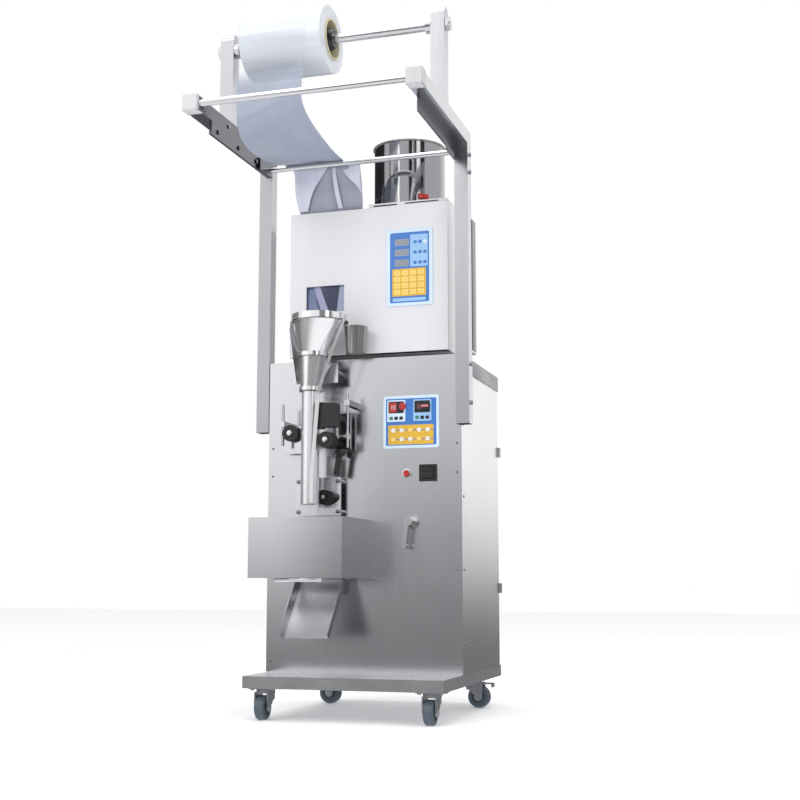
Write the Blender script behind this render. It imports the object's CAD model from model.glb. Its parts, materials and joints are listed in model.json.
"""Looks of the vertical form fill sealer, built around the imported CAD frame."""
import json
import math
import random

import bmesh
import bpy
from mathutils import Matrix, Vector


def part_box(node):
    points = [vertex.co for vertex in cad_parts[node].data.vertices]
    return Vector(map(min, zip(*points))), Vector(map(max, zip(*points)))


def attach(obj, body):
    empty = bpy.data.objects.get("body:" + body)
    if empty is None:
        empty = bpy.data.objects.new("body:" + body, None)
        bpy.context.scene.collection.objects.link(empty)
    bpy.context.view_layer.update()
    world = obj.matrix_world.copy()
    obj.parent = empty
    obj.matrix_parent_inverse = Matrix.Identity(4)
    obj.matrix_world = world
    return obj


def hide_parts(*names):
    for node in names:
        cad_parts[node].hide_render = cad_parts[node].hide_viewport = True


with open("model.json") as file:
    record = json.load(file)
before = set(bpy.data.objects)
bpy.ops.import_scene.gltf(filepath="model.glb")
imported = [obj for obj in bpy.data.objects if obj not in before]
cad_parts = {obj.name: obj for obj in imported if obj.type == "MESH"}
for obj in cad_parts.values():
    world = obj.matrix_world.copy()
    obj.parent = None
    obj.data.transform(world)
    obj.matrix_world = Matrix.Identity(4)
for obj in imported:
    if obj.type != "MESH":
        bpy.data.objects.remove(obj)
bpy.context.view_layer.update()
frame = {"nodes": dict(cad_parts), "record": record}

# ---- Places: working millimetres, measured from the middle of the base platform -----
deck_low, deck_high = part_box("base_platform")
ORIGIN_X = (deck_low.x + deck_high.x) / 2
ORIGIN_Y = (deck_low.y + deck_high.y) / 2
MM = 0.001


def at(x, y, z):
    """Point in metres in the row frame from working millimetres."""
    return Vector((ORIGIN_X + x * MM, ORIGIN_Y + y * MM, z * MM))


def span(node):
    """Lowest and highest corner of a CAD node in working millimetres."""
    low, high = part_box(node)
    shift = Vector((ORIGIN_X, ORIGIN_Y, 0))
    return (low - shift) / MM, (high - shift) / MM


FRONT_Y = span("cabinet_front")[0].y
FILL_X, FILL_Y = -92.0, -190.0

# ---- Materials ---------------------------------------------------


def new_material(name, color, roughness, metallic=0.0, **extra):
    """Principled material. Returns (material, node tree, shader node)."""
    mat = bpy.data.materials.new(name)
    mat.use_nodes = True
    tree = mat.node_tree
    shader = tree.nodes["Principled BSDF"]
    shader.inputs["Base Color"].default_value = (*color, 1.0)
    shader.inputs["Roughness"].default_value = roughness
    shader.inputs["Metallic"].default_value = metallic
    for key, value in extra.items():
        shader.inputs[key.replace("_", " ")].default_value = value
    return mat, tree, shader


def add_node(tree, kind, **settings):
    """New node with its properties and input defaults set."""
    node = tree.nodes.new(kind)
    for key, value in settings.items():
        if key in node.inputs:
            node.inputs[key].default_value = value
        else:
            setattr(node, key, value)
    return node


def stretched_noise(tree, stretch, scale, detail=5.0, rough=0.6):
    """Noise in object space, stretched along some axes. Returns its output socket."""
    coord = add_node(tree, "ShaderNodeTexCoord")
    mapping = add_node(tree, "ShaderNodeMapping")
    mapping.inputs["Scale"].default_value = stretch
    noise = add_node(tree, "ShaderNodeTexNoise", Scale=scale, Detail=detail, Roughness=rough)
    tree.links.new(coord.outputs["Object"], mapping.inputs["Vector"])
    tree.links.new(mapping.outputs["Vector"], noise.inputs["Vector"])
    return noise.outputs["Fac"]


def ramp(tree, source, low, high, start=0.3, end=0.7):
    """Map a factor between two grey or colour values."""
    node = add_node(tree, "ShaderNodeValToRGB")
    node.color_ramp.elements[0].position = start
    node.color_ramp.elements[1].position = end
    node.color_ramp.elements[0].color = (*low, 1.0)
    node.color_ramp.elements[1].color = (*high, 1.0)
    tree.links.new(source, node.inputs["Fac"])
    return node.outputs["Color"]


def map_range(tree, source, low, high):
    """Map a 0 to 1 factor to another range."""
    node = add_node(tree, "ShaderNodeMapRange")
    node.inputs["To Min"].default_value = low
    node.inputs["To Max"].default_value = high
    tree.links.new(source, node.inputs["Value"])
    return node.outputs["Result"]


def bump(tree, shader, source, strength, distance):
    """Drive the shader's normal by a height field."""
    node = add_node(tree, "ShaderNodeBump", Strength=strength, Distance=distance)
    tree.links.new(source, node.inputs["Height"])
    tree.links.new(node.outputs["Normal"], shader.inputs["Normal"])


def scaled(color, factor):
    """Colour made lighter or darker, kept at or below white."""
    return tuple(min(1.0, c * factor) for c in color)


def brushed(name, color, rough, grain, depth=0.25, spread=0.08, tone=0.06):
    """Brushed steel. grain is the stretch of the scratches along x, y and z."""
    mat, tree, shader = new_material(name, color, rough, 1.0)
    lines = stretched_noise(tree, grain, 1.0, 6.0, 0.7)
    clouds = stretched_noise(tree, (1, 1, 1), 4.5, 3.0, 0.5)
    tone_out = ramp(tree, lines, scaled(color, 1 - tone), scaled(color, 1 + tone), 0.25, 0.75)
    cloud_out = ramp(tree, clouds, (0.94, 0.94, 0.945), (1, 1, 1), 0.3, 0.65)
    mix = add_node(tree, "ShaderNodeMix", data_type="RGBA", blend_type="MULTIPLY")
    mix.inputs["Factor"].default_value = 1.0
    tree.links.new(tone_out, mix.inputs["A"])
    tree.links.new(cloud_out, mix.inputs["B"])
    tree.links.new(mix.outputs["Result"], shader.inputs["Base Color"])
    rough_out = map_range(tree, lines, max(0.02, rough - spread), rough + spread)
    tree.links.new(rough_out, shader.inputs["Roughness"])
    bump(tree, shader, lines, depth, 0.00012)
    return mat


def polished(name, color, rough, metal=1.0):
    """Polished steel with faint wipe marks in its gloss. metal below 1 softens its contrast."""
    mat, tree, shader = new_material(name, color, rough, metal)
    marks = stretched_noise(tree, (20, 20, 60), 1.0, 4.0, 0.6)
    tree.links.new(map_range(tree, marks, rough * 0.6, rough * 1.7), shader.inputs["Roughness"])
    bump(tree, shader, stretched_noise(tree, (14, 14, 9), 1.0, 2.0), 0.08, 0.0006)
    return mat


def moulded(name, color, rough, grain=900.0, depth=0.12, coat=0.0, tone=0.05):
    """Moulded plastic, rubber or paint with a fine skin texture."""
    mat, tree, shader = new_material(name, color, rough, 0.0, Coat_Weight=coat)
    fine = stretched_noise(tree, (1, 1, 1), grain, 4.0, 0.6)
    broad = stretched_noise(tree, (1, 1, 1), 9.0, 3.0, 0.5)
    color_out = ramp(tree, broad, scaled(color, 1 - tone), scaled(color, 1 + tone))
    tree.links.new(color_out, shader.inputs["Base Color"])
    tree.links.new(map_range(tree, broad, rough * 0.85, rough * 1.15), shader.inputs["Roughness"])
    bump(tree, shader, fine, depth, 0.0002)
    return mat


def film_material(name, color, alpha, rough, streak=(60, 4, 4), clear_above=None):
    """Thin film with faint lengthwise streaks.

    clear_above = (start height, end height, alpha) fades the film out higher up, in metres.
    """
    mat, tree, shader = new_material(name, color, rough, 0.0, Alpha=alpha, Coat_Weight=0.3)
    streaks = stretched_noise(tree, streak, 1.0, 4.0, 0.6)
    color_out = ramp(tree, streaks, scaled(color, 0.93), scaled(color, 1.07), 0.3, 0.7)
    tree.links.new(color_out, shader.inputs["Base Color"])
    bump(tree, shader, streaks, 0.25, 0.002)
    if clear_above:
        fade_start, fade_end, alpha_top = clear_above
        coord = add_node(tree, "ShaderNodeTexCoord")
        split = add_node(tree, "ShaderNodeSeparateXYZ")
        fade = add_node(tree, "ShaderNodeMapRange")
        tree.links.new(coord.outputs["Object"], split.inputs["Vector"])
        tree.links.new(split.outputs["Z"], fade.inputs["Value"])
        fade.inputs["From Min"].default_value = fade_start
        fade.inputs["From Max"].default_value = fade_end
        fade.inputs["To Min"].default_value = alpha
        fade.inputs["To Max"].default_value = alpha_top
        tree.links.new(fade.outputs["Result"], shader.inputs["Alpha"])
    return mat


def frame_angle(name, grey, grain):
    """Brushed steel of an overhead angle. A small blue tint keeps it cold."""
    return brushed(name, (grey, grey, grey + 0.02), 0.24, grain, 0.1, 0.06, 0.03)


MAT = {
    "platform_steel": brushed("deck steel", (0.74, 0.74, 0.76), 0.26, (12, 700, 12)),
    "cabinet_steel": brushed("cabinet steel", (0.70, 0.705, 0.725), 0.19, (500, 500, 5),
                             0.12, 0.05, 0.03),
    "weigher_paint": moulded("white paint", (0.71, 0.71, 0.735), 0.30, 1400, 0.05, 0.25, 0.012),
    "frame_steel": brushed("frame steel", (0.56, 0.56, 0.58), 0.24, (380, 380, 6),
                           0.10, 0.06, 0.025),
    "cap_plastic": moulded("cap plastic", (0.58, 0.58, 0.59), 0.45),
    "bar_steel": brushed("bar steel", (0.66, 0.665, 0.68), 0.20, (5, 500, 500), 0.12),
    "core_card": moulded("core card", (0.66, 0.60, 0.40), 0.75, 500, 0.3, 0.0, 0.10),
    "black_plastic": moulded("black plastic", (0.012, 0.012, 0.014), 0.34, 1100, 0.15),
    "mirror_steel": polished("mirror steel", (0.74, 0.74, 0.75), 0.10),
    "guard_steel": brushed("guard steel", (0.70, 0.705, 0.725), 0.12, (8, 500, 700)),
    "jaw_steel": brushed("jaw steel", (0.55, 0.55, 0.56), 0.35, (9, 400, 400)),
    "feeder_iron": moulded("iron paint", (0.05, 0.06, 0.075), 0.45),
    "box_paint": moulded("box paint", (0.55, 0.56, 0.54), 0.45),
    "panel_print": moulded("panel border", (0.62, 0.76, 0.90), 0.30, 1200, 0.04, 0.3),
    "lamp_red": moulded("lamp red", (0.45, 0.015, 0.01), 0.12, 600, 0.02, 0.6),
    "handle_chrome": polished("handle chrome", (0.82, 0.82, 0.83), 0.06),
    "roller_rubber": moulded("roller rubber", (0.014, 0.015, 0.017), 0.6, 800, 0.35),
    "caster_zinc": brushed("caster zinc", (0.55, 0.57, 0.60), 0.30, (60, 60, 60), 0.2),
    "wheel_rubber": moulded("wheel rubber", (0.075, 0.10, 0.125), 0.5, 700, 0.3),
}
MAT["film"] = film_material("roll film", (0.68, 0.72, 0.765), 1.0, 0.25, (5, 60, 60))

slot_of = {row["node"]: row["material_slot"] for row in frame["record"]["subparts"]}
for node_name, node_obj in frame["nodes"].items():
    node_obj.data.materials.clear()
    node_obj.data.materials.append(MAT[slot_of[node_name]])

# CAD nodes whose finish differs a little from the rest of their slot.
OWN_FINISH = {
    "hopper": polished("hopper steel", (0.36, 0.36, 0.37), 0.09),
    "fill_tube": polished("tube steel", (0.90, 0.90, 0.91), 0.14, 0.84),
    "forming_collar": brushed("collar steel", (0.86, 0.86, 0.87), 0.30, (300, 300, 12)),
    "collar_cup": brushed("cup steel", (0.40, 0.38, 0.37), 0.22, (200, 200, 20)),
    "chute": brushed("chute steel", (0.40, 0.40, 0.415), 0.22, (500, 9, 9)),
    "arm_left": frame_angle("left arm steel", 0.15, (300, 6, 300)),
    "arm_right": frame_angle("right arm steel", 0.58, (300, 6, 300)),
    "post_left": brushed("left post steel", (0.46, 0.46, 0.48), 0.24, (380, 380, 6),
                         0.10, 0.06, 0.025),
}
OWN_FINISH["arm_rails"] = OWN_FINISH["arm_left"]
for node_name, own in OWN_FINISH.items():
    frame["nodes"][node_name].data.materials[0] = own

# Finishes used only by the added pieces.
BLUE = moulded("panel blue", (0.035, 0.17, 0.52), 0.28, 1200, 0.03, 0.3, 0.04)
SKY = moulded("panel sky", (0.30, 0.52, 0.80), 0.30, 1200, 0.03, 0.3, 0.03)
YELLOW = moulded("panel yellow", (0.70, 0.42, 0.03), 0.32, 1200, 0.03, 0.3, 0.05)
KEY = moulded("panel key", (0.86, 0.62, 0.16), 0.34, 1200, 0.05, 0.2, 0.04)
GREY_LCD = moulded("display grey", (0.30, 0.34, 0.38), 0.16, 900, 0.02, 0.5, 0.06)
DIGIT = moulded("display digit", (0.03, 0.05, 0.09), 0.4, 900, 0.02)
RED_LED = moulded("red display", (0.42, 0.02, 0.02), 0.2, 900, 0.02, 0.5)
PINK = moulded("pink band", (0.62, 0.16, 0.20), 0.3, 900, 0.02, 0.3)
GREEN = moulded("green key", (0.03, 0.20, 0.12), 0.3, 900, 0.02, 0.3)
NAVY = film_material("shaded film", (0.018, 0.026, 0.075), 1.0, 0.25)
LILAC = film_material("folded film", (0.36, 0.36, 0.56), 0.95, 0.22)
WEB_FADE = (1.262, 1.304, 0.05)  # heights in metres where the web clears, and its alpha above
WEB = film_material("web film", (0.36, 0.40, 0.50), 0.86, 0.30, (22, 3, 3), WEB_FADE)
DROP = film_material("drop film", (0.35, 0.37, 0.46), 0.95, 0.30, (22, 3, 3))
FLAP = film_material("flap film", (0.66, 0.67, 0.79), 0.98, 0.28)
SLATE = film_material("slate film", (0.14, 0.18, 0.31), 1.0, 0.25)
PALE = film_material("pale film", (0.27, 0.32, 0.47), 1.0, 0.25)
CLEAR = film_material("tube film", (0.84, 0.86, 0.89), 0.07, 0.15)
DARK_STEEL = brushed("dark screw steel", (0.30, 0.30, 0.31), 0.30, (90, 90, 90))
WHITE_TAPE = moulded("white sleeve", (0.75, 0.75, 0.76), 0.5)
BRIGHT_EDGE = brushed("bright edge", (0.92, 0.92, 0.93), 0.38, (300, 300, 12))
SHADE_STEEL = brushed("shaded steel", (0.17, 0.17, 0.19), 0.26, (400, 400, 6))

# ---- Mesh helpers ------------------------------------------------


def finish_mesh(name, bm, mat, body, smooth=40.0):
    """Turn a bmesh into a piece that rides on a CAD body."""
    bmesh.ops.recalc_face_normals(bm, faces=bm.faces)
    mesh = bpy.data.meshes.new(name)
    bm.to_mesh(mesh)
    bm.free()
    obj = bpy.data.objects.new(name, mesh)
    bpy.context.scene.collection.objects.link(obj)
    mats = mat if isinstance(mat, (list, tuple)) else [mat]
    for m in mats:
        mesh.materials.append(m)
    if smooth:
        mesh.shade_smooth()
        mesh.set_sharp_from_angle(angle=math.radians(smooth))
    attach(obj, body)
    return obj


def rounded_outline(x0, x1, z0, z1, radius, steps=5):
    """Corner-rounded rectangle as a list of (x, z)."""
    points = []
    corners = [(x1 - radius, z1 - radius, 0), (x0 + radius, z1 - radius, 90),
               (x0 + radius, z0 + radius, 180), (x1 - radius, z0 + radius, 270)]
    for cx, cz, start in corners:
        for i in range(steps + 1):
            a = math.radians(start + 90 * i / steps)
            points.append((cx + radius * math.cos(a), cz + radius * math.sin(a)))
    return points


def add_plate(bm, outline, y_back, y_front, bevel=0.3, index=0):
    """Plate in the XZ plane with a softened front edge, added to a bmesh."""
    cx = sum(p[0] for p in outline) / len(outline)
    cz = sum(p[1] for p in outline) / len(outline)
    rings = []
    for y, inset in ((y_back, 0.0), (y_front + bevel, 0.0), (y_front, bevel)):
        ring = []
        for x, z in outline:
            d = math.hypot(x - cx, z - cz) or 1.0
            k = (d - inset) / d
            ring.append(bm.verts.new(at(cx + (x - cx) * k, y, cz + (z - cz) * k)))
        rings.append(ring)
    n = len(outline)
    faces = [bm.faces.new(rings[0]), bm.faces.new(rings[-1])]
    for low, high in zip(rings[:-1], rings[1:]):
        for i in range(n):
            faces.append(bm.faces.new((low[i], low[(i + 1) % n], high[(i + 1) % n], high[i])))
    for f in faces:
        f.material_index = index


def lathe(bm, profile, place, steps=48, index=0, closed=False):
    """Revolve (radius, height) points. place(r cos, r sin, height) gives the point.

    A closed profile runs back to its first point. An open one is capped at both ends.
    """
    rings = []
    for r, h in profile:
        ring = []
        for i in range(steps):
            a = 2 * math.pi * i / steps
            ring.append(bm.verts.new(place(r * math.cos(a), r * math.sin(a), h)))
        rings.append(ring)
    pairs = list(zip(rings[:-1], rings[1:]))
    if closed:
        pairs.append((rings[-1], rings[0]))
    for low, high in pairs:
        for i in range(steps):
            face = bm.faces.new((low[i], low[(i + 1) % steps], high[(i + 1) % steps], high[i]))
            face.material_index = index
    if not closed:
        for ring in (rings[0], rings[-1]):
            bm.faces.new(ring).material_index = index


def along_y(cx, cz):
    """Place for lathe() with its axis along y."""
    return lambda a, b, h: at(cx + a, h, cz + b)


def along_x(cy, cz):
    """Place for lathe() with its axis along x."""
    return lambda a, b, h: at(h, cy + a, cz + b)


def along_z(cx, cy):
    """Place for lathe() with its axis along z."""
    return lambda a, b, h: at(cx + a, cy + b, h)


def smooth_path(points, steps):
    """Catmull-Rom curve through points, resampled evenly in parameter."""
    pts = [Vector(p) for p in points]
    pts = [pts[0] * 2 - pts[1]] + pts + [pts[-1] * 2 - pts[-2]]
    out = []
    spans = len(pts) - 3
    for i in range(steps + 1):
        t = i / steps * spans
        k = min(int(t), spans - 1)
        u = t - k
        a, b, c, d = pts[k:k + 4]
        out.append(0.5 * (2 * b + (c - a) * u + (2 * a - 5 * b + 4 * c - d) * u ** 2
                          + (3 * b - a - 3 * c + d) * u ** 3))
    return out


def sheet_mesh(name, left, right, across, steps, thick, mat, body, wave=None):
    """Thin sheet between two edge curves. wave(u, v) gives an offset along its normal."""
    a = smooth_path(left, steps)
    b = smooth_path(right, steps)
    grid = []
    for j in range(steps + 1):
        grid.append([a[j].lerp(b[j], i / across) for i in range(across + 1)])
    normals = []
    for j in range(steps + 1):
        row = []
        for i in range(across + 1):
            du = grid[j][min(i + 1, across)] - grid[j][max(i - 1, 0)]
            dv = grid[min(j + 1, steps)][i] - grid[max(j - 1, 0)][i]
            row.append(du.cross(dv).normalized())
        normals.append(row)
    bm = bmesh.new()
    skins = []
    for side in (0.5, -0.5):
        skin = []
        for j in range(steps + 1):
            row = []
            for i in range(across + 1):
                push = side * thick + (wave(i / across, j / steps) if wave else 0.0)
                p = grid[j][i] + normals[j][i] * push
                row.append(bm.verts.new(at(*p)))
            skin.append(row)
        skins.append(skin)
    top, low = skins
    for j in range(steps):
        for i in range(across):
            bm.faces.new((top[j][i], top[j][i + 1], top[j + 1][i + 1], top[j + 1][i]))
            bm.faces.new((low[j][i], low[j + 1][i], low[j + 1][i + 1], low[j][i + 1]))
    for j in range(steps):
        for i in (0, across):
            bm.faces.new((top[j][i], top[j + 1][i], low[j + 1][i], low[j][i]))
    for i in range(across):
        for j in (0, steps):
            bm.faces.new((top[j][i], low[j][i], low[j][i + 1], top[j][i + 1]))
    return finish_mesh(name, bm, mat, body, 60)


def add_box(bm, x0, x1, y0, y1, z0, z1, bevel=0.5, index=0):
    """Box with bevelled edges, added to a bmesh."""
    part = bmesh.new()
    corners = [part.verts.new((x, y, z)) for x in (x0, x1) for y in (y0, y1) for z in (z0, z1)]
    for quad in ((0, 1, 3, 2), (4, 6, 7, 5), (0, 4, 5, 1), (2, 3, 7, 6), (0, 2, 6, 4),
                 (1, 5, 7, 3)):
        part.faces.new([corners[i] for i in quad])
    bmesh.ops.bevel(part, geom=list(part.edges), offset=bevel, segments=2, affect="EDGES",
                    profile=0.5)
    for v in part.verts:
        v.co = at(*v.co)
    for f in part.faces:
        f.material_index = index
    mesh = bpy.data.meshes.new("box")
    part.to_mesh(mesh)
    part.free()
    bm.from_mesh(mesh)
    bpy.data.meshes.remove(mesh)


def strip_along(name, centre, width, thick, mat, body):
    """Flat metal strip along (point, width direction, normal) samples."""
    bm = bmesh.new()
    rows = []
    for point, side, normal in centre:
        s = Vector(side).normalized() * width / 2
        n = Vector(normal).normalized() * thick / 2
        p = Vector(point)
        rows.append([bm.verts.new(at(*(p + a))) for a in (s + n, s - n, -s - n, -s + n)])
    for a, b in zip(rows[:-1], rows[1:]):
        for i in range(4):
            j = (i + 1) % 4
            bm.faces.new((a[i], a[j], b[j], b[i]))
    bm.faces.new(rows[0])
    bm.faces.new(rows[-1])
    return finish_mesh(name, bm, mat, body, 30)


def screw_head(bm, place, y, radius, index=0):
    """Domed screw head with a cross slot, facing the front."""
    cx, cz = place
    lathe(bm, [(0.3, y), (radius, y), (radius, y - radius * 0.25), (radius * 0.8, y - radius * 0.5),
               (0.3, y - radius * 0.62)], along_y(cx, cz), 20, index)


# ---- Printed panels ----------------------------------------------


def seven_segment(bm, x, z, w, h, digit, y, index):
    """One generic digit from thin bars."""
    on = {0: "abcdef", 1: "bc", 2: "abged", 3: "abgcd", 5: "afgcd", 8: "abcdefg"}[digit]
    t = w * 0.16
    bars = {
        "a": (x, x + w, z + h - t, z + h), "g": (x, x + w, z + h / 2 - t / 2, z + h / 2 + t / 2),
        "d": (x, x + w, z, z + t), "f": (x, x + t, z + h / 2, z + h),
        "b": (x + w - t, x + w, z + h / 2, z + h), "e": (x, x + t, z, z + h / 2),
        "c": (x + w - t, x + w, z, z + h / 2),
    }
    for key in on:
        x0, x1, z0, z1 = bars[key]
        add_plate(bm, [(x0, z0), (x1, z0), (x1, z1), (x0, z1)], y + 0.05, y, 0.0, index)


def key_grid(bm, x0, x1, z0, z1, columns, rows, y, index, fill=0.78):
    """Grid of raised keys. fill is the share of each cell that its key covers."""
    step_x, step_z = (x1 - x0) / columns, (z1 - z0) / rows
    for i in range(columns):
        for j in range(rows):
            cx, cz = x0 + (i + 0.5) * step_x, z0 + (j + 0.5) * step_z
            hw, hh = step_x * fill / 2, step_z * fill / 2
            add_plate(bm, rounded_outline(cx - hw, cx + hw, cz - hh, cz + hh, 1.2, 3),
                      y + 0.4, y, 0.2, index)


def build_weigher_panel():
    """Blue membrane panel with three displays, nine small keys and sixteen yellow keys."""
    low, high = span("weigher_panel")
    x0, x1, z0, z1 = low.x, high.x, low.z, high.z
    y = FRONT_Y
    mats = [MAT["panel_print"], BLUE, SKY, YELLOW, KEY, GREY_LCD, DIGIT, WHITE_TAPE]
    bm = bmesh.new()
    add_plate(bm, rounded_outline(x0, x1, z0, z1, 4), y, y - 2.0, 0.4, 0)
    add_plate(bm, rounded_outline(x0 + 8, x1 - 8, z0 + 7, z1 - 8, 3), y - 2.0, y - 2.15, 0.05, 1)
    add_plate(bm, rounded_outline(x0 + 53, x1 - 11, z1 - 84, z1 - 14, 2), y - 2.1, y - 2.25,
              0.05, 2)
    for i in range(3):
        z = z1 - 37 - i * 22.5
        add_plate(bm, rounded_outline(x0 + 19, x0 + 50, z, z + 14.5, 1.5), y - 2.1, y - 2.5,
                  0.15, 5)
        for k, digit in enumerate((0, 2, 5, 0)):
            seven_segment(bm, x0 + 22 + k * 6.8, z + 3, 4.4, 8.5, digit, y - 2.56, 6)
        for k in range(3):
            cx = x0 + 60 + k * 11
            add_plate(bm, rounded_outline(cx, cx + 8, z + 3, z + 10, 2.5), y - 2.2, y - 2.4,
                      0.1, 7 if k == 2 and i == 0 else 1)
    add_plate(bm, rounded_outline(x0 + 13, x1 - 15, z0 + 21, z0 + 81, 2), y - 2.1, y - 2.3,
              0.05, 3)
    key_grid(bm, x0 + 15, x1 - 17, z0 + 23, z0 + 79, 4, 4, y - 2.7, 4)
    for i in range(4):
        for j in range(4):
            cx = x0 + 15 + (i + 0.5) * 17.75
            cz = z0 + 23 + (j + 0.5) * 14
            add_plate(bm, rounded_outline(cx - 3.5, cx + 3.5, cz - 0.8, cz + 0.8, 0.5, 2),
                      y - 2.69, y - 2.74, 0.0, 3)
    add_plate(bm, rounded_outline(x0 + 14, x1 - 16, z0 + 10, z0 + 17, 1.5), y - 2.1, y - 2.25,
              0.05, 2)
    obj = finish_mesh("weigher_panel_face", bm, mats, "frame")
    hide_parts("weigher_panel")


def build_control_panel():
    """Membrane panel with a temperature module, a counter module, two knobs and ten keys."""
    low, high = span("control_panel")
    x0, x1, z0, z1 = low.x, high.x, low.z, high.z
    y = FRONT_Y
    mats = [MAT["panel_print"], BLUE, SKY, YELLOW, KEY, RED_LED, DIGIT, PINK, GREEN,
            MAT["black_plastic"], WHITE_TAPE]
    bm = bmesh.new()
    add_plate(bm, rounded_outline(x0, x1, z0, z1, 5), y, y - 2.0, 0.4, 0)
    add_plate(bm, rounded_outline(x0 + 6, x1 - 6, z0 + 6, z1 - 6, 3), y - 2.0, y - 2.15, 0.05, 1)
    for cx, kind in ((x0 + 29, 5), (x0 + 86, 9)):
        add_plate(bm, rounded_outline(cx - 20, cx + 20, z1 - 55, z1 - 9, 3), y - 2.1, y - 4.2,
                  0.6, 0 if kind == 5 else 2)
        add_plate(bm, rounded_outline(cx - 17, cx + 17, z1 - 37, z1 - 12, 2), y - 4.1, y - 4.5,
                  0.2, 9)
        add_plate(bm, rounded_outline(cx - 15, cx + 1, z1 - 35, z1 - 14, 1), y - 4.4, y - 4.7,
                  0.1, kind)
        for k, digit in enumerate((1, 5, 0)):
            seven_segment(bm, cx - 13.5 + k * 4.6, z1 - 29, 3.4, 9, digit, y - 4.75,
                          7 if kind == 9 else 10)
        for k in range(3):
            px = cx - 15 + k * 11
            add_plate(bm, rounded_outline(px, px + 8, z1 - 51, z1 - 44, 2), y - 4.1, y - 4.7,
                      0.3, 8 if k == 0 else 9)
    lathe(bm, [(0.5, y - 4.4), (7.0, y - 4.4), (8.0, y - 5.6), (6.8, y - 7.4), (0.5, y - 7.8)],
          along_y(x0 + 43, z1 - 23), 28, 5)
    lathe(bm, [(0.5, y - 4.4), (9.5, y - 4.4), (10.5, y - 6.0), (9.0, y - 9.0), (0.5, y - 9.4)],
          along_y(x0 + 93, z1 - 24), 32, 9)
    add_plate(bm, rounded_outline(x0 + 85, x0 + 101, z1 - 26.5, z1 - 21.5, 2), y - 9.3,
              y - 10.4, 0.3, 7)
    add_plate(bm, rounded_outline(x0 + 11, x1 - 12, z0 + 8, z0 + 49, 2), y - 2.1, y - 2.3,
              0.05, 3)
    for i in range(5):
        cx = x0 + 22 + i * 18.8
        for cz in (z0 + 19, z0 + 38):
            lathe(bm, [(0.4, y - 2.2), (4.6, y - 2.2), (4.4, y - 3.3), (0.4, y - 3.5)],
                  along_y(cx, cz), 20, 10 if (i + int(cz)) % 3 else 4)
            add_plate(bm, rounded_outline(cx + 6, cx + 13, cz - 1, cz + 1, 0.6, 2), y - 2.2,
                      y - 2.4, 0.0, 1)
    obj = finish_mesh("control_panel_face", bm, mats, "frame")
    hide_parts("control_panel")


# ---- Film --------------------------------------------------------
FILM_THICK = 0.25       # millimetres, thicker than real film so that the mesh stays sound
SLOT_Y = FRONT_Y + 9.0  # the film goes down behind the front plate of the upper cabinet


def roll_centre():
    """Depth (y) and height of the film roll's centre, and its radius."""
    low, high = span("film_roll")
    return (low.y + high.y) / 2, (low.z + high.z) / 2, (high.z - low.z) / 2


def round_rear_bar(angle, gap=0.9):
    """Point (y, z) just off the rear bar at an angle in degrees."""
    low, high = span("rear_bar")
    reach = (high.z - low.z) / 2 + gap
    a = math.radians(angle)
    return (low.y + high.y) / 2 + reach * math.cos(a), (low.z + high.z) / 2 + reach * math.sin(a)


def build_roll():
    """Wound film with uneven layers showing on both ends."""
    low, high = span("film_roll")
    cy, cz, radius = roll_centre()
    rng = random.Random(11)
    x0, x1 = low.x, high.x
    core_r = (span("roll_core")[1].z - span("roll_core")[0].z) / 2 + 0.4
    profile = []
    rings = 26
    for i in range(rings + 1):
        r = core_r + (radius - 1.2 - core_r) * i / rings
        profile.append((r, x0 + 0.4 + rng.uniform(0.0, 0.9)))
    profile.append((radius - 0.3, x0 + 1.5))
    profile.append((radius - 0.05, x0 + 4))
    for i in range(1, 12):
        profile.append((radius - 0.05 - 0.25 * (i % 2), x0 + (x1 - x0) * i / 12))
    profile.append((radius - 0.05, x1 - 4))
    profile.append((radius - 0.3, x1 - 1.5))
    for i in range(rings, -1, -1):
        r = core_r + (radius - 1.2 - core_r) * i / rings
        profile.append((r, x1 - 0.4 - rng.uniform(0.0, 0.9)))
    bm = bmesh.new()
    lathe(bm, profile, along_x(cy, cz), 96, 0, True)
    roll = finish_mesh("film_roll_wound", bm, MAT["film"], "roll", 30)
    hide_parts("film_roll")


def build_web():
    """Film from the front of the roll, down in a slack curve and over the rear bar."""
    cy, cz, radius = roll_centre()
    yf = cy - radius - 1.0
    over = [round_rear_bar(a) for a in (110, 75, 40, 10)]
    left = [(-180, yf, cz), (-181, yf, 1300), (-181, yf + 1, 1225), (-181, yf + 6, 1192),
            (-181, yf + 26, 1171), (-181, yf + 64, 1160), (-180, -270, 1160),
            (-177, -200, 1168), (-172, *over[0]), (-170, *over[1]), (-168, *over[2]),
            (-165, *over[3])]
    right = [(-33, yf, cz), (-36, yf, 1310), (-40, yf + 1, 1262), (-43, yf + 7, 1237),
             (-46, yf + 34, 1222), (-48, yf + 70, 1212), (-49, -270, 1203),
             (-46, -200, 1190), (-38, *over[0]), (-34, *over[1]), (-30, *over[2]),
             (-24, *over[3])]

    def web_wave(u, v):
        ripple = 2.2 * math.sin(2.6 * math.pi * u + 4 * v) * math.sin(math.pi * min(1, v * 1.1))
        return ripple * (1 - abs(2 * u - 1) ** 3) * 0.6

    web = sheet_mesh("film_web_slack", left, right, 30, 90, FILM_THICK, WEB, "frame",
                     web_wave)
    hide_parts("film_web")


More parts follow.
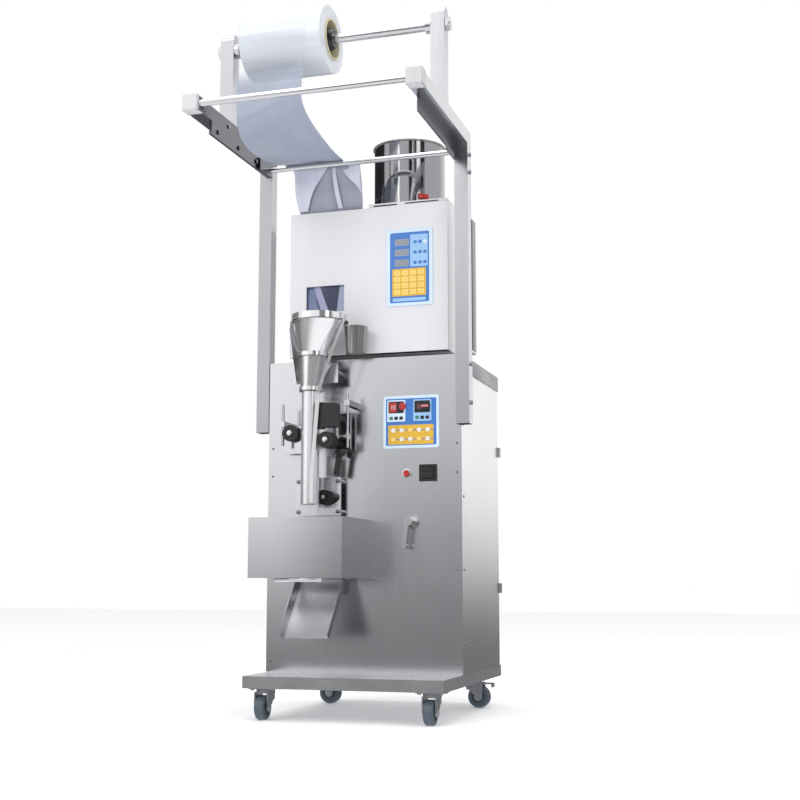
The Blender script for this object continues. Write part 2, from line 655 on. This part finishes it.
def build_drop():
    """Film from the rear bar into the slot of the upper cabinet, with its folded edges."""
    start_y, start_z = round_rear_bar(0)
    drop_l = [(-160, start_y, start_z), (-154, start_y - 0.6, 1160), (-153, -128, 1120),
              (-152, SLOT_Y - 2, 1082), (-146, SLOT_Y + 1, 1040), (-138, SLOT_Y + 1, 960)]
    drop_r = [(-3, start_y, start_z), (-2, start_y - 0.6, 1160), (-2, -128, 1120),
              (-6, SLOT_Y - 2, 1082), (-14, SLOT_Y + 1, 1040), (-28, SLOT_Y + 1, 960)]

    def drop_wave(u, v):
        seam = 3.2 * math.exp(-((u - 0.60) / 0.035) ** 2)
        return (seam + 1.6 * math.sin(7 * u + 3 * v)) * min(1.0, v * 5)

    drop = sheet_mesh("film_drop", drop_l, drop_r, 48, 40, FILM_THICK, DROP, "frame",
                      drop_wave)
    flap_sets = {
        "film_flap_left": (
            [(-160, start_y - 1.2, start_z), (-154, -140.4, 1160), (-154, -134.5, 1120),
             (-153, SLOT_Y - 5.0, 1084)],
            [(-74, start_y - 2.2, start_z - 2), (-82, -142.0, 1160), (-112, -135.5, 1120),
             (-132, SLOT_Y - 5.5, 1084)]),
        "film_flap_right": (
            [(-46, start_y - 2.0, start_z - 3), (-34, -141.0, 1150), (-14, -137.5, 1128),
             (-3, -134.5, 1112)],
            [(-2, start_y - 1.2, start_z - 3), (-1, -141.0, 1150), (-1, -137.5, 1128),
             (-1, -134.5, 1110)]),
    }
    for name, (a, b) in flap_sets.items():
        sheet_mesh(name, a, b, 14, 22, FILM_THICK, FLAP, "frame",
                                lambda u, v: 1.1 * math.sin(5 * u + 2 * v) - 0.8 * u)
    strip_l = [(-66, start_y - 2.0, start_z - 6), (-65, -141.0, 1150), (-62, -136.0, 1118),
               (-60, SLOT_Y - 5.5, 1084)]
    strip_r = [(-58, start_y - 2.0, start_z - 6), (-56, -141.0, 1150), (-52, -136.0, 1118),
               (-50, SLOT_Y - 5.5, 1084)]
    sheet_mesh("film_fold_middle", strip_l, strip_r, 6, 22, FILM_THICK, FLAP,
                            "frame", lambda u, v: 0.9 * math.sin(math.pi * u))


def build_film_tube():
    """Film tube round the fill tube, flattened into a bag between the jaws."""
    steps, rows = 72, 60
    top_z, low_z, bag_z = 668.0, 436.0, 300.0  # lower ring, foot of the tube, foot of the bag

    def skin(bm, radius, gap):
        rings = []
        for j in range(rows + 1):
            z = top_z + (bag_z - top_z) * j / rows
            k = 0.0 if z > low_z else min(1.0, (low_z - z) / 62.0)
            ring = []
            for i in range(steps):
                a = 2 * math.pi * i / steps
                r = radius + 0.12 * math.sin(9 * a + z * 0.05) * math.sin(z * 0.11)
                x = r * math.cos(a) * (1 + 0.52 * k)
                y = r * math.sin(a) * (1 - k) + gap * math.sin(a) * k
                ring.append(bm.verts.new(at(FILL_X + x, FILL_Y + y, z)))
            rings.append(ring)
        for a, b in zip(rings[:-1], rings[1:]):
            for i in range(steps):
                bm.faces.new((a[i], a[(i + 1) % steps], b[(i + 1) % steps], b[i]))
        return rings

    bm = bmesh.new()
    outer = skin(bm, 20.0, 0.35)
    inner = skin(bm, 19.8, 0.12)
    for end in (0, -1):
        for i in range(steps):
            k = (i + 1) % steps
            bm.faces.new((outer[end][i], outer[end][k], inner[end][k], inner[end][i]))
    tube = finish_mesh("film_tube_bag", bm, CLEAR, "frame", 60)


def build_window_film():
    """Film folded over the lip behind the window of the upper cabinet."""
    y = FRONT_Y + 5.0
    bm = bmesh.new()
    quads = [
        (0, [(-138, y + 3, 918), (-38, y + 3, 918), (-38, y, 848), (-138, y, 848)]),
        (1, [(-118, y + 2, 917), (-104, y - 1, 917), (-78, y - 4, 850), (-98, y - 2, 850)]),
        (2, [(-104, y - 1, 917), (-56, y + 1, 917), (-62, y - 2, 852), (-79, y - 4, 852)]),
        (3, [(-56, y + 1, 917), (-40, y + 1.5, 917), (-42, y - 3, 850), (-63, y - 3, 850)]),
        (0, [(-132, y + 1, 872), (-112, y - 3, 886), (-98, y - 4, 850), (-132, y - 2, 850)]),
    ]
    for index, corners in quads:
        front = [bm.verts.new(at(*c)) for c in corners]
        back = [bm.verts.new(at(c[0], c[1] + 0.4, c[2])) for c in corners]
        faces = [bm.faces.new(front), bm.faces.new(back[::-1])]
        for i in range(4):
            j = (i + 1) % 4
            faces.append(bm.faces.new((front[i], back[i], back[j], front[j])))
        for f in faces:
            f.material_index = index
    bmesh.ops.subdivide_edges(bm, edges=bm.edges, cuts=3, use_grid_fill=True)
    fold = finish_mesh("film_window_fold", bm, [SLATE, LILAC, NAVY, PALE], "frame", 20)


# ---- Forming collar edges and small hardware ---------------------


def build_collar_lapel():
    """Turned edge of the forming collar: down the cone and on down the tube."""
    samples = []
    top = Vector((-9, -206, 826))
    low = Vector((-66, -212, 668))
    for i in range(25):
        t = i / 24
        p = top.lerp(low, t)
        bulge = math.sin(math.pi * t) * 5
        p.y -= bulge
        samples.append((p, (1, 0.55, 0.40), (0.5, -1, 0.1)))
    for i in range(1, 22):
        t = i / 21
        p = Vector((-66 - 14 * min(1, t * 1.3), -212.2 + 0.6 * t, 672 - 236 * t))
        samples.append((p, (1, 0.15 * (1 - t), 0.05), (0.1, -1, 0)))
    strip_along("collar_lapel", samples, 8.0, 1.2, BRIGHT_EDGE, "frame")
    wing = []
    for i in range(21):
        t = i / 20
        p = Vector((-138 + 18 * t ** 1.6, FILL_Y + 2, 822 - 66 * t))
        wing.append((p, (0.45, 0.9, 0.1), (-0.9, 0.45, 0)))
    strip_along("collar_wing", wing, 9.0, 1.2, BRIGHT_EDGE, "frame")


def build_screws():
    """Screws on the front of the cabinet, and bolts of the posts and arms."""
    bm = bmesh.new()
    plate_low, _ = span("jaw_plate")
    for x in (-136, -48):
        for z in (421, 485):
            screw_head(bm, (x, z), plate_low.y, 4.4)
    low, high = span("guard")
    for x in (low.x + 8, high.x - 8):
        for z in (low.z + 24, high.z - 24):
            screw_head(bm, (x, z), FRONT_Y - 1.5, 3.2)
    for x in (-205, 205):
        for z in (110, 300, 500, 560):
            screw_head(bm, (x, z), FRONT_Y, 2.6)
    finish_mesh("front_screws", bm, DARK_STEEL, "frame", 35)
    bm = bmesh.new()
    for node, x_side in (("post_left", -1), ("post_right", 1)):
        low, high = span(node)
        x = low.x if x_side < 0 else high.x
        y = low.y + 14.5
        for z in (high.z - 22, high.z - 60, 640, 720):
            profile = [(0.4, x), (5.2, x), (5.2, x + x_side * 3.0), (4.2, x + x_side * 4.0),
                       (0.4, x + x_side * 4.2)]
            lathe(bm, profile, along_x(y, z), 6)
    for node, x_side in (("arm_left", 1), ("arm_right", -1)):
        low, high = span(node)
        x = high.x if x_side > 0 else low.x
        for y in (-470, -352, -262):
            profile = [(0.4, x), (4.2, x), (4.2, x + x_side * 2.4), (0.4, x + x_side * 3.0)]
            lathe(bm, profile, along_x(y, (low.z + high.z) / 2), 20)
    finish_mesh("frame_bolts", bm, DARK_STEEL, "frame", 35)


def build_trim():
    """Lamp bezel, gasket under the upper cabinet and clamps at the foot of the hopper."""
    lamp_low, lamp_high = span("lamp")
    cx, cz = (lamp_low.x + lamp_high.x) / 2, (lamp_low.z + lamp_high.z) / 2
    bm = bmesh.new()
    lathe(bm, [(8.2, FRONT_Y), (9.6, FRONT_Y), (9.6, FRONT_Y - 2.2), (8.8, FRONT_Y - 3.4),
               (7.0, FRONT_Y - 3.6), (7.0, FRONT_Y - 3.1), (8.2, FRONT_Y - 3.0)],
          along_y(cx, cz), 36, 0, True)
    finish_mesh("lamp_bezel", bm, MAT["handle_chrome"], "frame", 40)
    low, high = span("weigher_shell")
    bm = bmesh.new()
    add_plate(bm, rounded_outline(low.x + 1, high.x - 1, low.z - 3.2, low.z + 0.6, 1.2, 3),
              FRONT_Y + 6, FRONT_Y + 1.2, 0.3, 0)
    finish_mesh("weigher_gasket", bm, MAT["roller_rubber"], "frame", 40)
    hop_low, hop_high = span("hopper")
    hx, hy = (hop_low.x + hop_high.x) / 2, (hop_low.y + hop_high.y) / 2
    bm = bmesh.new()
    for i in range(3):
        a = math.radians(-90 + 120 * i)
        x, y = hx + 80.5 * math.cos(a), hy + 80.5 * math.sin(a)
        lathe(bm, [(0.4, 1080), (4.5, 1080), (4.5, 1086), (3.4, 1089), (0.4, 1090)],
              along_z(x, y), 18)
    finish_mesh("hopper_clamps", bm, MAT["lamp_red"], "frame", 40)


def build_caps():
    """White sleeve over the front end of each arm."""
    for side in ("left", "right"):
        low, high = span("arm_" + side)
        bm = bmesh.new()
        y0, y1, y2 = low.y - 3.6, low.y + 7.0, low.y + 24.0
        left_end = y2 if side == "left" else y1
        right_end = y2 if side == "right" else y1
        skin = 1.3
        add_box(bm, low.x - skin, high.x + skin, y0 - 0.3, y0 + 1.2, low.z - skin, high.z + skin)
        add_box(bm, low.x - skin, low.x - 0.05, y0, left_end, low.z - skin, high.z + skin, 0.4)
        add_box(bm, high.x + 0.05, high.x + skin, y0, right_end, low.z - skin, high.z + skin,
                0.4)
        add_box(bm, low.x - skin, high.x + skin, y0, y2, low.z - skin, low.z - 0.05, 0.4)
        add_box(bm, low.x - skin, high.x + skin, y0, y2, high.z + 0.05, high.z + skin, 0.4)
        finish_mesh("arm_cap_sleeve_" + side, bm, MAT["cap_plastic"], "frame", 30)


def build_chute_lip():
    """Rolled lip where the chute leaves the guard."""
    low, high = span("chute")
    guard_low, _ = span("guard")
    bm = bmesh.new()
    y, z = guard_low.y + 9.0, guard_low.z - 4.5
    lathe(bm, [(0.3, low.x + 2), (2.6, low.x + 2), (3.4, low.x + 3), (3.4, high.x - 3),
               (2.6, high.x - 2), (0.3, high.x - 2)], along_x(y, z), 24)
    finish_mesh("chute_lip", bm, MAT["handle_chrome"], "frame", 40)


def build_cam():
    """Film clamp cam: a black teardrop with a bright screw in its middle."""
    low, high = span("cam_knob")
    cx, cz = low.x + 16, (low.z + high.z) / 2
    bm = bmesh.new()
    outline = []
    for i in range(40):
        a = 2 * math.pi * i / 40
        r = 16.0 + 8.5 * max(0.0, math.cos(a - 0.12)) ** 5
        outline.append((cx + r * math.cos(a), cz + r * math.sin(a)))
    add_plate(bm, outline, high.y - 2, low.y + 4, 1.6)
    lathe(bm, [(0.3, low.y + 5), (11, low.y + 5), (10, low.y + 1), (0.3, low.y + 0.8)],
          along_y(cx, cz), 28)
    lathe(bm, [(0.3, low.y + 1.2), (4.8, low.y + 1.2), (4.4, low.y - 0.6), (0.3, low.y - 1.0)],
          along_y(cx, cz), 20, 1)
    cam = finish_mesh("cam_teardrop", bm, [MAT["black_plastic"], MAT["mirror_steel"]], "cam",
                      40)
    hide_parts("cam_knob")


def build_weigher_lid():
    """Folded rim of the upper cabinet's lid and the dark seal under it."""
    low, high = span("weigher_shell")
    bm = bmesh.new()
    add_box(bm, 10, high.x - 1, FRONT_Y + 1.5, FRONT_Y + 3.5, high.z + 0.1, high.z + 7.5, 0.6)
    add_box(bm, high.x - 3, high.x - 1, FRONT_Y + 3.5, high.y - 3, high.z + 0.1, high.z + 7.5, 0.6)
    finish_mesh("lid_rim", bm, MAT["weigher_paint"], "frame", 40)
    bm = bmesh.new()
    add_box(bm, 22, 74, FRONT_Y + 0.9, FRONT_Y + 1.5, high.z + 0.6, high.z + 3.6, 0.2)
    add_box(bm, 92, high.x - 20, FRONT_Y + 0.9, FRONT_Y + 1.5, high.z + 2.0, high.z + 4.6, 0.2)
    finish_mesh("lid_seal", bm, MAT["roller_rubber"], "frame", 40)


def build_side_hardware():
    """Screws on both sides of the lower cabinet."""
    for side, node in ((1, "cabinet_right"), (-1, "cabinet_left")):
        low, high = span(node)
        x = high.x if side > 0 else low.x
        bm = bmesh.new()
        profile = [(0.4, x), (3.0, x), (2.8, x + side * 1.1), (0.4, x + side * 1.6)]
        for y, heights in ((low.y + 14, (150, 300, 450, 600)), (high.y - 12, (170, 580))):
            for z in heights:
                lathe(bm, profile, along_x(y, z), 18)
        finish_mesh("side_screws_" + node, bm, DARK_STEEL, "frame", 35)


def build_side_covers():
    """Darker folded edge of the cabinet top, side of the post's stay, and hopper latch."""
    low, high = span("cabinet_top")
    bm = bmesh.new()
    add_box(bm, high.x + 0.02, high.x + 0.9, low.y + 1.5, high.y - 1.5, low.z + 0.8,
            high.z - 0.8, 0.25)
    finish_mesh("top_flange_side", bm, SHADE_STEEL, "frame", 40)
    low, high = span("post_right")
    bm = bmesh.new()
    add_box(bm, high.x + 0.02, high.x + 0.8, low.y + 30, high.y - 1, 752, 1032, 0.25)
    finish_mesh("stay_side", bm, SHADE_STEEL, "frame", 40)
    low, high = span("hopper")
    bm = bmesh.new()
    mid_x, mid_y = (low.x + high.x) / 2, (low.y + high.y) / 2
    add_box(bm, mid_x - 12, mid_x + 12, low.y - 2.0, low.y + 3.5, 1100.0, 1111.0, 1.2)
    round_to_right = Matrix.Rotation(math.radians(38), 3, "Z")
    bmesh.ops.rotate(bm, cent=at(mid_x, mid_y, 0), verts=bm.verts, matrix=round_to_right)
    finish_mesh("hopper_latch", bm, MAT["lamp_red"], "frame", 40)


def build_tube_details():
    """Guide plate beside the tube, dark seams under its rings, and nuts of the rollers."""
    bm = bmesh.new()
    add_box(bm, -68.5, -50, -152, -149.5, 496, 536, 0.4)
    finish_mesh("guide_plate", bm, MAT["jaw_steel"], "frame", 40)
    # One thin ring under the funnel rim and under each ring of the cone:
    # centre x, height of its foot, inner and outer radius.
    seams = ((-72.0, 815.4, 53.2, 59.6), (-87.0, 741.4, 28.8, 32.7),
             (FILL_X, 669.4, 19.6, 24.2))
    bm = bmesh.new()
    for cx, foot, inner, outer in seams:
        top = foot + 1.6
        lathe(bm, [(inner, foot), (outer, foot), (outer, top), (inner, top)],
              along_z(cx, FILL_Y), 64, 0, True)
    finish_mesh("ring_seams", bm, DARK_STEEL, "frame", 40)
    for name, body in (("pull_roller_left", "left_roller"), ("pull_roller_right", "right_roller")):
        low, high = span(name)
        cx, cz = (low.x + high.x) / 2, (low.z + high.z) / 2
        bm = bmesh.new()
        lathe(bm, [(0.3, low.y - 0.2), (6.5, low.y - 0.2), (6.0, low.y - 3.6), (0.3, low.y - 4.2)],
              along_y(cx, cz), 6, 0)
        finish_mesh(name + "_nut", bm, MAT["handle_chrome"], body, 30)


build_weigher_panel()
build_control_panel()
build_caps()
build_chute_lip()
build_cam()
build_weigher_lid()
build_side_hardware()
build_side_covers()
build_tube_details()
build_roll()
build_web()
build_drop()
build_film_tube()
build_window_film()
build_collar_lapel()
build_screws()
build_trim()

# ---- Studio ------------------------------------------------------
scene = bpy.context.scene
scene.view_settings.view_transform = "Standard"
scene.view_settings.look = "None"


def stage_plane(name, corners, color, rough, camera_sees=True):
    """Four-cornered studio surface that is not part of the machine."""
    mesh = bpy.data.meshes.new(name)
    mesh.from_pydata([tuple(c) for c in corners], [], [(0, 1, 2, 3)])
    obj = bpy.data.objects.new(name, mesh)
    scene.collection.objects.link(obj)
    mat, _, _ = new_material(name + " surface", color, rough)
    mesh.materials.append(mat)
    obj.visible_camera = camera_sees
    return obj


stage_plane("floor", [(-9, -9, 0), (9, -9, 0), (9, 9, 0), (-9, 9, 0)], (0.90, 0.90, 0.905), 0.7)
floor = bpy.data.objects["floor"]
floor.visible_glossy = False
floor_shader = floor.data.materials[0].node_tree.nodes["Principled BSDF"]
floor_shader.inputs["Emission Color"].default_value = (1, 1, 1, 1)
floor_shader.inputs["Emission Strength"].default_value = 0.10


def flag(name, azimuth, width, distance=3.0, low=0.1, high=3.8):
    """Dark studio flag seen only in reflections, facing the machine at an azimuth."""
    a = math.radians(azimuth)
    c = Vector((distance * math.cos(a), distance * math.sin(a), 0))
    side = Vector((-math.sin(a), math.cos(a), 0)) * width / 2
    corners = [c - side + Vector((0, 0, low)), c + side + Vector((0, 0, low)),
               c + side + Vector((0, 0, high)), c - side + Vector((0, 0, high))]
    obj = stage_plane(name, corners, (0.015, 0.015, 0.018), 0.9, False)
    obj.visible_diffuse = False
    obj.visible_shadow = False
    obj.visible_transmission = False


flag("flag_centre", -62, 1.35, low=1.1)
flag("flag_right", -30, 0.8, low=1.1)
flag("flag_back", 158, 4.6)


def soft_card(name, x_far, x_full, x_end, y, low, high, strength):
    """Glowing card seen only in reflections, fading out towards its right and lower edge."""
    corners = [Vector((x_far, y, low)), Vector((x_end, y, low)),
               Vector((x_end, y, high)), Vector((x_far, y, high))]
    obj = stage_plane(name, corners, (0, 0, 0), 1.0, False)
    obj.visible_diffuse = False
    obj.visible_shadow = False
    tree = obj.data.materials[0].node_tree
    tree.nodes.clear()
    coord = add_node(tree, "ShaderNodeTexCoord")
    split = add_node(tree, "ShaderNodeSeparateXYZ")
    tree.links.new(coord.outputs["Object"], split.inputs["Vector"])
    fades = []
    for axis, start, end in (("X", x_end, x_full), ("Z", low, low + 0.9)):
        fade = add_node(tree, "ShaderNodeMapRange", interpolation_type="SMOOTHSTEP")
        fade.inputs["From Min"].default_value = start
        fade.inputs["From Max"].default_value = end
        tree.links.new(split.outputs[axis], fade.inputs["Value"])
        fades.append(fade.outputs["Result"])
    both = add_node(tree, "ShaderNodeMath", operation="MULTIPLY")
    tree.links.new(fades[0], both.inputs[0])
    tree.links.new(fades[1], both.inputs[1])
    glow = add_node(tree, "ShaderNodeEmission", Strength=strength)
    clear = add_node(tree, "ShaderNodeBsdfTransparent")
    blend = add_node(tree, "ShaderNodeMixShader")
    tree.links.new(both.outputs[0], blend.inputs["Fac"])
    tree.links.new(clear.outputs[0], blend.inputs[1])
    tree.links.new(glow.outputs[0], blend.inputs[2])
    out = add_node(tree, "ShaderNodeOutputMaterial")
    tree.links.new(blend.outputs[0], out.inputs["Surface"])


soft_card("card_left", -2.75, -0.82, -0.54, -1.8, -0.1, 2.6, 1.08)
soft_card("card_back", -0.6, 2.2, 2.8, 2.6, -0.05, 2.6, 1.15)


def area_light(name, place, target, size, size_y, power):
    """Soft rectangular light aimed at a point."""
    light = bpy.data.lights.new(name, "AREA")
    light.shape = "RECTANGLE"
    light.size = size
    light.size_y = size_y
    light.energy = power
    obj = bpy.data.objects.new(name, light)
    obj.location = place
    direction = Vector(target) - Vector(place)
    obj.rotation_euler = direction.to_track_quat("-Z", "Y").to_euler()
    scene.collection.objects.link(obj)


area_light("key", (-1.9, -2.9, 2.9), (0, 0, 0.8), 2.2, 2.2, 42)
area_light("fill", (2.6, -2.2, 2.2), (0, 0, 0.7), 1.6, 2.2, 12)
area_light("top", (0.1, -0.3, 3.4), (0, 0, 0.6), 2.4, 2.4, 40)

# Reflected surroundings, from straight down (0) to straight up (1): bright floor, dark
# horizon and bright upper half. The camera itself sees plain white.
world = bpy.data.worlds.new("studio")
scene.world = world
world.use_nodes = True
wt = world.node_tree
background = wt.nodes["Background"]
coord = add_node(wt, "ShaderNodeTexCoord")
split = add_node(wt, "ShaderNodeSeparateXYZ")
wt.links.new(coord.outputs["Generated"], split.inputs["Vector"])
sky = add_node(wt, "ShaderNodeValToRGB")
stops = sky.color_ramp.elements
HORIZON = ((0.0, 1.3), (0.25, 1.2), (0.31, 0.24), (0.49, 0.23), (0.56, 0.85), (0.64, 1.08))
stops[0].position, stops[1].position = HORIZON[0][0], HORIZON[-1][0]
for position, _ in HORIZON[1:-1]:
    stops.new(position)
for stop, (_, grey) in zip(stops, HORIZON):
    stop.color = (grey, grey, grey * 1.02, 1)
half = add_node(wt, "ShaderNodeMapRange")
half.inputs["From Min"].default_value = -1.0
wt.links.new(split.outputs["Z"], half.inputs["Value"])
wt.links.new(half.outputs["Result"], sky.inputs["Fac"])
wt.links.new(sky.outputs["Color"], background.inputs["Color"])
background.inputs["Strength"].default_value = 0.85
clean = add_node(wt, "ShaderNodeBackground")
clean.inputs["Color"].default_value = (1, 1, 1, 1)
switch = add_node(wt, "ShaderNodeMixShader")
path = add_node(wt, "ShaderNodeLightPath")
wt.links.new(path.outputs["Is Camera Ray"], switch.inputs["Fac"])
wt.links.new(background.outputs["Background"], switch.inputs[1])
wt.links.new(clean.outputs["Background"], switch.inputs[2])
wt.links.new(switch.outputs["Shader"], wt.nodes["World Output"].inputs["Surface"])

CAMERA_PLACE = (868.08, -2660.18, 276.83)  # working millimetres
CAMERA_PITCH = 0.141                       # radians above level
CAMERA_YAW = 0.300                         # radians towards the left of the machine
camera_data = bpy.data.cameras.new("camera")
camera_data.lens = 57.4
camera_data.sensor_width = 36.0
camera_data.clip_end = 100
camera = bpy.data.objects.new("camera", camera_data)
camera.location = at(*CAMERA_PLACE)
camera.rotation_euler = (math.pi / 2 + CAMERA_PITCH, 0.0, CAMERA_YAW)
scene.collection.objects.link(camera)
scene.camera = camera
